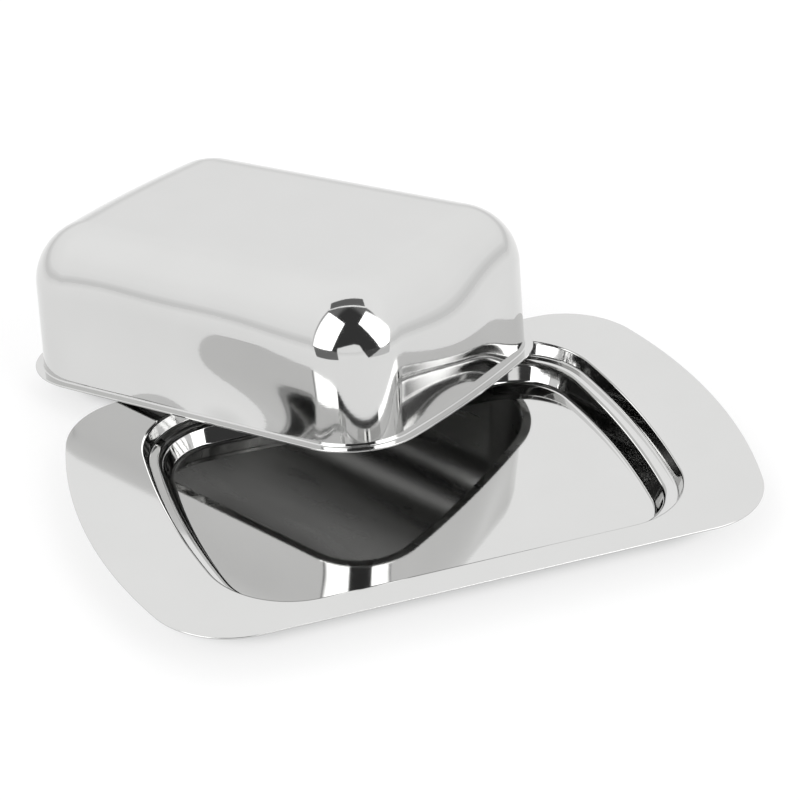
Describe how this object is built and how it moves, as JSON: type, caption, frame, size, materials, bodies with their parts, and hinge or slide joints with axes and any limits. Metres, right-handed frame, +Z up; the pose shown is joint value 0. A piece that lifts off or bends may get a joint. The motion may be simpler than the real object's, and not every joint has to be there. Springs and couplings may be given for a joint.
{
  "type": "butter dish",
  "caption": "Polished steel butter dish: a shallow winged tray with a stepped well and a deep rounded cover, which leans off the tray's back edge.",
  "frame": {"origin": "centre of the underside of the tray's well, where it stands on the table", "axes": "+Z up, X along the tray's length, +Y towards the back, where the cover leans with its far corner on the table"},
  "size_m": [0.195, 0.2115, 0.0635],
  "materials": {
    "tray_steel": "bright polished stainless steel",
    "cover_steel": "bright polished stainless steel with a faint satin grain on the top"
  },
  "bodies": {
    "tray": {"tray": "tray_steel"},
    "cover": {"cover": "cover_steel"}
  },
  "joints": [
    {"name": "cover_lift", "type": "slide", "parent": "tray", "child": "cover", "axis": [0, 0, 1], "range_m": [0, 0.12]}
  ]
}
